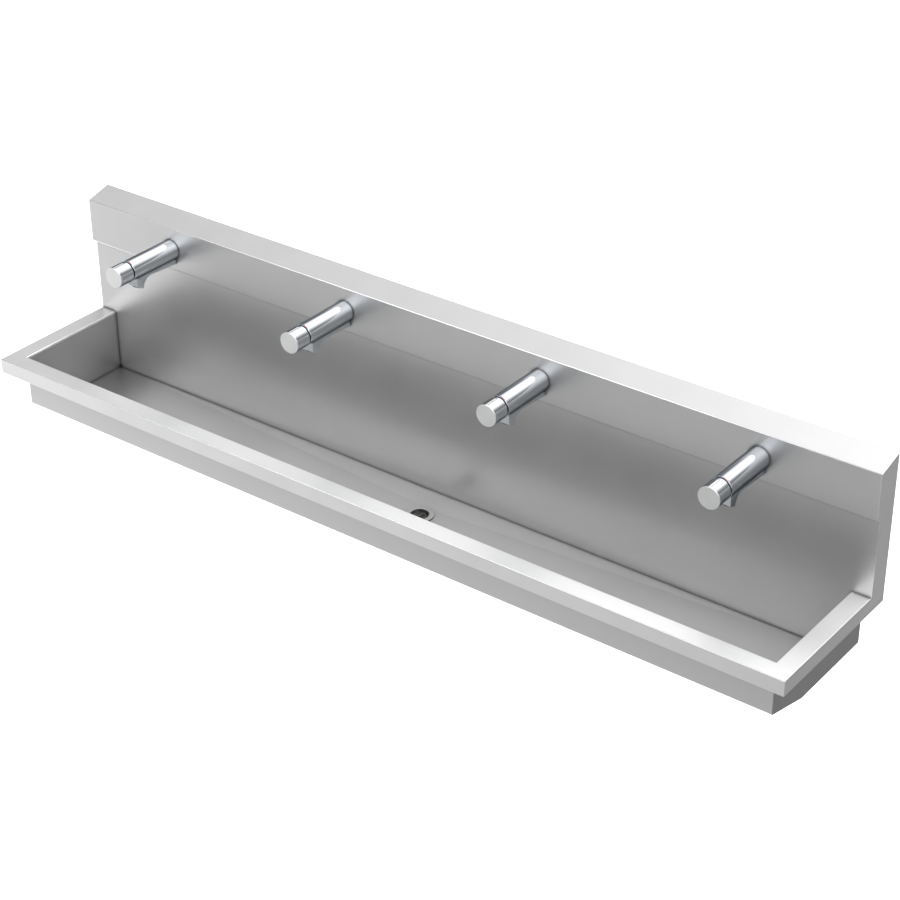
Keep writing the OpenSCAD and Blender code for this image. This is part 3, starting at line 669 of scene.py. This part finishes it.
class TROUGH_OT_sheet(bpy.types.Operator):
    """Gives the folded sheet its ground stainless finish and eased edges"""

    bl_idname = "trough.sheet"
    bl_label = "Stainless Sheet"

    def execute(self, context):
        settings = context.scene.trough_sheet
        # Painted light and shade: each place on the one steel gets its own tone and its own share of painted
        # shade.
        finishes = [
            ("rim", settings.tone, 0, settings.deep_shade_tone, None, ["front_rim"]),
            ("end", settings.tone, 1, settings.deep_shade_tone, None, ["end_left", "end_right"]),
            ("splashback", settings.back, 0, settings.splashback_deep_shade, None, ["splashback"]),
            ("bowl", settings.bowl, 0, settings.deep_shade_tone, settings.front, ["trough_pan"]),
            ("wall", settings.walls, 1, settings.deep_shade_tone, None, ["basin_end_left", "basin_end_right"])]
        for place, rgb, along, dull, front, names in finishes:
            steel = satin_stainless(f"satin_stainless_{place}", settings, rgb, along, dull, front)
            finish_nodes(steel, *names)
        soften(["end_left", "end_right", "basin_end_left", "basin_end_right"], settings.edge)
        return {"FINISHED"}


class TROUGH_OT_fixing(bpy.types.Operator):
    """Galvanises the hanging rail and its wall brackets, and welds the rail to the splashback"""

    bl_idname = "trough.fixing"
    bl_label = "Wall Fixing"

    def execute(self, context):
        settings = context.scene.trough_sheet
        names = ["hanging_rail", "wall_bracket_left", "wall_bracket_right"]
        finish_nodes(galvanised_steel("galvanised_steel"), *names)
        soften(names, settings.edge)
        low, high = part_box("hanging_rail")
        count = int((high.x - low.x) / settings.stitch_pitch)
        bead = settings.bead
        steps = 24
        beads = []
        for i in range(count):
            x = (i - (count - 1) / 2) * settings.stitch_pitch
            path, swell = [], []
            for k in range(steps + 1):
                path.append(Vector((x + settings.stitch * (k / steps - 0.5), low.y + bead * 0.4, low.z)))
                ripple = 1 + 0.06 * math.cos(math.pi * k)
                swell.append(bead * (0.4 + 0.6 * math.sin(math.pi * k / steps) ** 0.5) * ripple)
            beads.append(swept(path, swell, 8))
        steel = turned_metal("weld_bead_stainless", settings.tone, 0.35, 10 * MM)
        make_piece("rail_welds", beads, ROOT, steel)
        return {"FINISHED"}


class TROUGH_OT_seams(bpy.types.Operator):
    """Lays the ground weld beads in the corners of the bowl"""

    bl_idname = "trough.seams"
    bl_label = "Bowl Seams"

    def execute(self, context):
        settings = context.scene.trough_sheet
        bead = settings.bead
        low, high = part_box("trough_pan")
        rim_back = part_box("front_rim")[1].y
        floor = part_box("splashback")[0].z
        back = rim_back + settings.bowl_width
        inside = Vector((0, (rim_back + back) / 2, high.z))
        corners = [
            (rim_back, high.z), (rim_back, high.z - settings.front_wall),
            (back - settings.floor_width, floor), (back, floor), (back, high.z)]
        beads = []
        for x, inward in ((low.x, 1), (high.x, -1)):
            path = [Vector((x, y, z)) for y, z in corners]
            beads.append(corner_bead(path, Vector((inward, 0, 0)), inside, bead))
        steel = satin_stainless("satin_stainless_seam", settings, settings.bead_tint_and_shade, 1, settings.deep_shade_tone)
        make_piece("bowl_seams", beads, ROOT, steel)
        return {"FINISHED"}


class TROUGH_OT_taps(bpy.types.Operator):
    """Plates the taps with chrome, enamels their temperature marks and fits the aerator's sieve"""

    bl_idname = "trough.taps"
    bl_label = "Taps"

    def execute(self, context):
        settings = context.scene.trough_taps
        chrome = polished_chrome("polished_chrome", settings.chrome, settings.haze, settings.groove_shade_reach)
        face = turned_satin_chrome("turned_satin_chrome", settings.face)
        black = moulded_plastic("moulded_black_acetal", linear("141416"), 0.4)
        grey = moulded_plastic("moulded_grey_acetal", linear("3A3B3D"), 0.45)
        brass = turned_metal("turned_brass", context.scene.trough_supply.brass, 0.28, 20 * MM)
        finish_nodes(fired_enamel("red_enamel", settings.hot), "hot_marks")
        finish_nodes(fired_enamel("blue_enamel", settings.cold), "cold_marks")
        finish_nodes(moulded_rubber("moulded_epdm_rubber"), "tap_gaskets", "waste_seals")
        sieves = []
        for i in range(1, TAPS + 1):
            plated = [f"{piece}_{i}" for piece in ("tap_body", "spout", "cap", "pointer")]
            finish_nodes(chrome, *plated)
            finish_nodes(face, f"cap_face_{i}", f"pointer_{i}")
            finish_nodes(black, f"cartridge_{i}")
            finish_nodes(grey, f"aerator_{i}")
            finish_nodes(brass, f"stem_{i}")
            soften(plated, settings.edge)
            sieves += self.sieve(settings, middle(f"aerator_{i}").x, middle(f"tap_body_{i}").z)
        make_piece("aerator_sieves", sieves, ROOT, grey)
        return {"FINISHED"}

    def sieve(self, settings, x, z):
        """Crossed bars in the aerator's mouth, square to its slanted axis."""
        centre = Vector((x, settings.outlet_place, z - settings.outlet_drop))
        tilt = Matrix.Rotation(-settings.outlet_angle, 3, "X")
        count = int(settings.sieve / settings.sieve_pitch)
        bars = []
        for k in range(-count, count + 1):
            place = k * settings.sieve_pitch
            reach = math.sqrt(max(settings.sieve ** 2 - place ** 2, 0))
            if reach < settings.sieve_pitch:
                continue
            depth = -settings.sieve_depth
            for a, b in (((place, -reach), (place, reach)), ((-reach, place), (reach, place))):
                ends = [centre + tilt @ Vector((p[0], p[1], depth)) for p in (a, b)]
                bars.append(swept(ends, settings.sieve_pitch * 0.16, 4))
        return bars


class TROUGH_OT_springs(bpy.types.Operator):
    """Winds the taps' return springs, each riding on its tap's selector"""

    bl_idname = "trough.springs"
    bl_label = "Return Springs"

    def execute(self, context):
        settings = context.scene.trough_taps
        steel = turned_metal("drawn_spring_steel", linear("9A9C9E"), 0.25, 5 * MM)
        steps_per_turn = 24
        steps = int(settings.spring_turns * steps_per_turn)
        wire = settings.spring_wire / 2
        for i in range(1, TAPS + 1):
            node = f"return_spring_{i}"
            low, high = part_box(node)
            centre = (low + high) / 2
            coil = (high.x - low.x) / 2 - wire
            path = []
            for k in range(steps + 1):
                turn = 2 * math.pi * k / steps_per_turn
                y = low.y + wire + (high.y - low.y - 2 * wire) * k / steps
                path.append(Vector((centre.x + coil * math.cos(turn), y, centre.z + coil * math.sin(turn))))
            piece = make_piece(
                f"spring_coil_{i}", [swept(path, wire)], f"selector_{i}", steel)
            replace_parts(piece, node)
            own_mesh(piece)
        return {"FINISHED"}


class TROUGH_OT_pipes(bpy.types.Operator):
    """Draws the copper supply pipes with their end caps and their brass tees and threaded inlets"""

    bl_idname = "trough.pipes"
    bl_label = "Supply Pipes"

    def execute(self, context):
        settings = context.scene.trough_supply
        copper = turned_metal("drawn_copper", settings.copper, 0.3, 50 * MM)
        brass = turned_metal("cast_brass", settings.brass, 0.38, 15 * MM)
        r = settings.pipe / 2
        wall = settings.sleeve
        for side in ("hot", "cold"):
            node = f"{side}_rail"
            low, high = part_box(node)
            axis = Vector((0, settings.pipe_place, (low.z + high.z) / 2))
            half_pipe = [
                (r * 0.6, high.x), (r * 0.92, high.x - 0.2 * wall), (r + 0.8 * wall, high.x - wall),
                (r + wall, high.x - 2 * wall), (r + wall, high.x - 12 * wall),
                (r + 0.6 * wall, high.x - 12.6 * wall), (r, high.x - 13.4 * wall)]
            profile = half_pipe + [(radius, -x) for radius, x in reversed(half_pipe)]
            pipe = make_piece(
                f"{side}_pipe", [lathe(profile, axis, "x", closed=False)], ROOT, copper)
            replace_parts(pipe, node)
            make_piece(f"{side}_tee", self.tee(settings, axis, high.y), ROOT, brass)
        return {"FINISHED"}

    def tee(self, settings, axis, end):
        """A cast tee round the pipe with a soldered collar at each end, and its threaded inlet."""
        r = settings.pipe / 2
        wall = settings.sleeve
        half = settings.tee / 2
        ends = [(r, half + wall), (r + wall, half), (r + 2.4 * wall, half - 0.5 * wall),
                (r + 2.4 * wall, half - 3 * wall), (r + 1.8 * wall, half - 3.5 * wall)]
        sleeve = lathe(ends + [(radius, -x) for radius, x in reversed(ends)], axis, "x")
        branch = settings.branch / 2
        bore = r - 1 * MM
        root = end - settings.inlet
        inlet = Vector((axis.x, 0, axis.z))
        boss = lathe(
            [(bore, axis.y + r / 2), (branch, axis.y + r / 2), (branch, root - CAST_EDGE),
             (branch - CAST_EDGE, root), (bore, root)], inlet, "y")
        thread = threaded_tube(
            inlet, "y", settings.inlet_crest, settings.inlet_depth, settings.inlet_pitch, root, end, bore)
        return [sleeve, boss, thread]


class TROUGH_OT_fittings(bpy.types.Operator):
    """Fits the inlet blocks, the moulded pipe clips, and the nuts on the taps' threaded shanks"""

    bl_idname = "trough.fittings"
    bl_label = "Supply Fittings"

    def execute(self, context):
        settings = context.scene.trough_supply
        taps = context.scene.trough_taps
        brass = bpy.data.materials["cast_brass"]
        turned = bpy.data.materials["turned_brass"]
        finish_nodes(brass, "inlet_blocks")
        soften(["inlet_blocks"], CAST_EDGE)
        low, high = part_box("back_nuts")
        sheet_back = low.y
        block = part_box("inlet_blocks")[0].y
        nuts, threads, clips = [], [], []
        clip_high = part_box("rail_clips")[1]
        for i in range(1, TAPS + 1):
            centre = Vector((middle(f"tap_body_{i}").x, 0, middle(f"tap_body_{i}").z))
            nuts.append(hex_nut(centre, high.z - low.z, taps.shank / 2 + 0.1 * MM, low.y, high.y))
            threads.append(threaded_tube(
                centre, "y", taps.shank / 2 + 0.3 * MM, taps.thread_height, taps.thread_pitch,
                high.y - 1 * MM, block, taps.shank / 2 - 1 * MM))
            outward = -1 if centre.x < 0 else 1
            clips += self.clip(settings, centre + Vector((outward * settings.clip_offset, 0, 0)), sheet_back,
                               clip_high)
        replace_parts(make_piece("hex_nuts", nuts, ROOT, turned), "back_nuts")
        make_piece("shank_threads", threads, ROOT, turned)
        nylon = moulded_plastic("moulded_black_nylon", linear("1D1E20"), 0.5)
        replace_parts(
            make_piece("pipe_clips", clips, ROOT, nylon, MOULDED_EDGE), "rail_clips")
        return {"FINISHED"}

    def clip(self, settings, centre, foot, high):
        """A moulded clip: a foot on the sheet, two posts with a web, and two open rings for the pipes."""
        inner = settings.pipe / 2 + 0.1 * MM
        outer = inner + 2.6 * MM
        half_width = settings.clip_width / 2
        top = high.z - centre.z
        mouth = high.y - settings.pipe_place
        plate = foot + 3 * MM
        steps = 28

        def part(outline, half):
            moved = [(y, centre.z + z) for y, z in outline]
            return extruded(moved, centre.x - half, centre.x + half)

        parts = [part([(foot, -top), (plate, -top), (plate, top), (foot, top)], half_width)]
        span = (middle("hot_rail").z - middle("cold_rail").z) / 2
        rib = foot + (settings.pipe_place - foot) * 0.55
        parts.append(part([(plate, -span), (rib, -span), (rib, span), (plate, span)], 1.5 * MM))
        for side in (-1, 1):
            z = side * span
            neck = settings.pipe_place - inner - 1 * MM
            parts.append(part(
                [(plate, z - 10 * MM), (neck, z - 6 * MM), (neck, z + 6 * MM), (plate, z + 10 * MM)],
                half_width * 0.6))
            ring = []
            for radius, turns in ((outer, range(steps + 1)), (inner, range(steps, -1, -1))):
                lip = math.asin(min(1, mouth / radius))
                for k in turns:
                    turn = lip - (math.pi + 2 * lip) * k / steps
                    ring.append((settings.pipe_place + radius * math.sin(turn), z + radius * math.cos(turn)))
            parts.append(part(ring, half_width))
        return parts


class TROUGH_OT_waste(bpy.types.Operator):
    """Finishes the waste, cuts the thread of its tail and ribs its cup"""

    bl_idname = "trough.waste"
    bl_label = "Waste"

    def execute(self, context):
        sheet = context.scene.trough_sheet
        settings = context.scene.trough_supply
        # The flange takes the bowl floor's tone with its painted shade; the strainer below is painted dark
        # for its recess.
        steel = satin_stainless("pressed_stainless", sheet, sheet.bowl, 0, sheet.deep_shade_tone)
        basket_shade = turned_metal("polished_stainless_basket", sheet.basket_shade, 0.3, 30 * MM)
        plastic = moulded_plastic("moulded_polypropylene", settings.plastic, 0.42)
        finish_nodes(steel, "waste_flange")
        finish_nodes(basket_shade, "waste_strainer", "waste_screw")
        finish_nodes(plastic, "waste_body")
        soften(["waste_flange", "waste_strainer", "waste_screw", "waste_body"], sheet.edge)
        low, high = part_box("waste_tail")
        centre = Vector(((low.x + high.x) / 2, (low.y + high.y) / 2, 0))
        crest = (high.x - low.x) / 2
        tail = threaded_tube(
            centre, "z", crest, settings.tail_depth, settings.tail_pitch, low.z, high.z,
            crest - settings.tail_wall, steps=64)
        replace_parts(make_piece("waste_thread", [tail], ROOT, plastic), "waste_tail")
        body_low, body_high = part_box("waste_body")
        flange = (body_high.x - body_low.x) / 2
        ribs = []
        cup = settings.cup / 2
        top, bottom = body_high.z - 3.5 * MM, body_low.z + 2 * MM
        root = cup - 0.3 * MM
        outline = [(root, top), (flange - 1 * MM, top), (cup + 0.8 * MM, bottom), (root, bottom)]
        for k in range(settings.ribs):
            turn = Matrix.Rotation(2 * math.pi * (k + 0.5) / settings.ribs, 3, "Z")
            rows = []
            for across in (-settings.rib / 2, settings.rib / 2):
                rows.append([centre + turn @ Vector((out, across, z)) for out, z in outline])
            ribs.append(rings(rows))
        make_piece("waste_ribs", ribs, ROOT, plastic, MOULDED_EDGE)
        return {"FINISHED"}


# Softboxes round the trough, far off. For each one: degrees to the left of the front, degrees above the
# horizon, degrees from its middle to its edge, and brightness. Each is even over the core, a share of that
# reach, and fades from there to its edge.
SOFTBOX_CORE = 0.21
SOFTBOXES = {
    "overhead_back": (-162, 58, 38, 1.4),
    "overhead_right": (-90, 58, 38, 1.6),
    "overhead_left": (126, 58, 38, 0.57),
    "back": (172, 40, 32, 1.0),
    "key": (37, 32, 14, 1.4),
    "strip_left": (46, 44, 10, 3.8),
    "strip_right": (-62, 46, 12, 3.8),
    "front_high": (18, 32, 38, 0.55),
    "front_right": (-52, 34, 32, 0.8),
    "above_taps": (-12, 46, 26, 1.1),
    "right": (-90, 27, 38, 1.8),
    "left": (72, 0, 38, 0.8),
    "left_low": (90, -27, 38, 1.3),
    "front_low": (50, -34, 38, 0.25),
    "table": (85, -60, 26, 1.9),
}


class TROUGH_OT_stage(bpy.types.Operator):
    """Sets up the white table and backdrop, the soft lights and the camera"""

    bl_idname = "trough.stage"
    bl_label = "Stage"

    def execute(self, context):
        settings = context.scene.trough_stage
        white = opal_acrylic("opal_acrylic_table", settings.floor, settings.glow)
        self.lay_floor(settings, white)
        self.hang_backdrop(white)
        self.light_sky(context.scene, settings)
        self.set_camera(context.scene, settings)
        context.scene.view_settings.view_transform = "Standard"
        return {"FINISHED"}

    def lay_floor(self, settings, white):
        """A wide flat floor that the trough doesn't mirror, as if it hung above a light table."""
        half = STAGE_REACH
        corners = [(-half, -half), (half, -half), (half, half), (-half, half)]
        mesh = bpy.data.meshes.new("floor")
        mesh.from_pydata([(x, y, -settings.drop) for x, y in corners], [], [(0, 1, 2, 3)])
        self.place(mesh, white)

    def hang_backdrop(self, white):
        """A white dome that closes the view above the floor and lets the softboxes' light in."""
        made = bmesh.new()
        bmesh.ops.create_uvsphere(made, u_segments=48, v_segments=24, radius=STAGE_REACH)
        mesh = bpy.data.meshes.new("backdrop")
        made.to_mesh(mesh)
        made.free()
        self.place(mesh, white)

    def place(self, mesh, white):
        mesh.materials.append(white)
        thing = bpy.data.objects.new(mesh.name, mesh)
        thing.visible_glossy = False
        thing.visible_diffuse = False
        thing.visible_shadow = False
        bpy.context.scene.collection.objects.link(thing)

    def light_sky(self, scene, settings):
        """The softboxes, as soft round patches of light on the sky, over a dim even light."""
        world = bpy.data.worlds.new("studio_sky")
        world.use_nodes = True
        tree = world.node_tree
        tree.nodes.clear()
        toward = add(tree, "ShaderNodeTexCoord").outputs["Generated"]
        total = None
        for left, above, reach, brightness in SOFTBOXES.values():
            a, e = math.radians(left), math.radians(above)
            place = (-math.sin(a) * math.cos(e), -math.cos(a) * math.cos(e), math.sin(e))
            nearness = add(
                tree, "ShaderNodeVectorMath", {1: place}, {0: toward},
                operation="DOT_PRODUCT").outputs["Value"]
            edge = math.cos(math.radians(reach))
            core = math.cos(math.radians(reach * SOFTBOX_CORE))
            box = add(
                tree, "ShaderNodeMapRange",
                {"From Min": edge, "From Max": core, "To Min": settings.sky if total is None else 0,
                 "To Max": brightness},
                {"Value": nearness}, interpolation_type="SMOOTHSTEP").outputs["Result"]
            total = box if total is None else both(tree, total, box)
        sky = add(tree, "ShaderNodeBackground", {"Color": (1, 1, 1, 1)}, {"Strength": total})
        add(tree, "ShaderNodeOutputWorld", links={"Surface": sky.outputs["Background"]})
        scene.world = world

    def set_camera(self, scene, settings):
        a, e, roll = settings.azimuth, settings.elevation, settings.roll
        back = Vector((math.sin(a) * math.cos(e), -math.cos(a) * math.cos(e), math.sin(e)))
        right = Vector((0, 0, 1)).cross(back).normalized()
        up = back.cross(right)
        axes = Matrix((right, up, back)).transposed() @ Matrix.Rotation(roll, 3, "Z")
        data = bpy.data.cameras.new("camera")
        data.lens = settings.lens
        data.sensor_width = 36
        data.clip_end = 100
        camera = bpy.data.objects.new("camera", data)
        aimed = Vector((0, 0, 0.25))
        offset = axes @ Vector((-settings.aim_right, -settings.aim_up, settings.distance))
        camera.matrix_world = Matrix.Translation(aimed + offset) @ axes.to_4x4()
        scene.collection.objects.link(camera)
        scene.camera = camera


class TROUGH_PT_panel(bpy.types.Panel):
    """Lists the steps that dress the trough"""

    bl_idname = "TROUGH_PT_panel"
    bl_label = "Trough Sink"
    bl_space_type = "VIEW_3D"
    bl_region_type = "UI"
    bl_category = "Trough Sink"

    def draw(self, context):
        for step in STEPS:
            self.layout.operator(step.bl_idname)


STEPS = [
    TROUGH_OT_stage, TROUGH_OT_sheet, TROUGH_OT_fixing, TROUGH_OT_seams, TROUGH_OT_taps,
    TROUGH_OT_springs, TROUGH_OT_pipes, TROUGH_OT_fittings, TROUGH_OT_waste]
SETTINGS = {
    "trough_sheet": SheetSettings, "trough_taps": TapSettings, "trough_supply": SupplySettings,
    "trough_stage": StageSettings}


def register():
    for name, group in SETTINGS.items():
        bpy.utils.register_class(group)
        setattr(bpy.types.Scene, name, PointerProperty(type=group))
    for kind in STEPS + [TROUGH_PT_panel]:
        bpy.utils.register_class(kind)


def unregister():
    for kind in reversed(STEPS + [TROUGH_PT_panel]):
        bpy.utils.unregister_class(kind)
    for name, group in SETTINGS.items():
        delattr(bpy.types.Scene, name)
        bpy.utils.unregister_class(group)


def main():
    register()
    for step in STEPS:
        family, name = step.bl_idname.split(".")
        getattr(getattr(bpy.ops, family), name)()


if __name__ == "__main__":
    main()
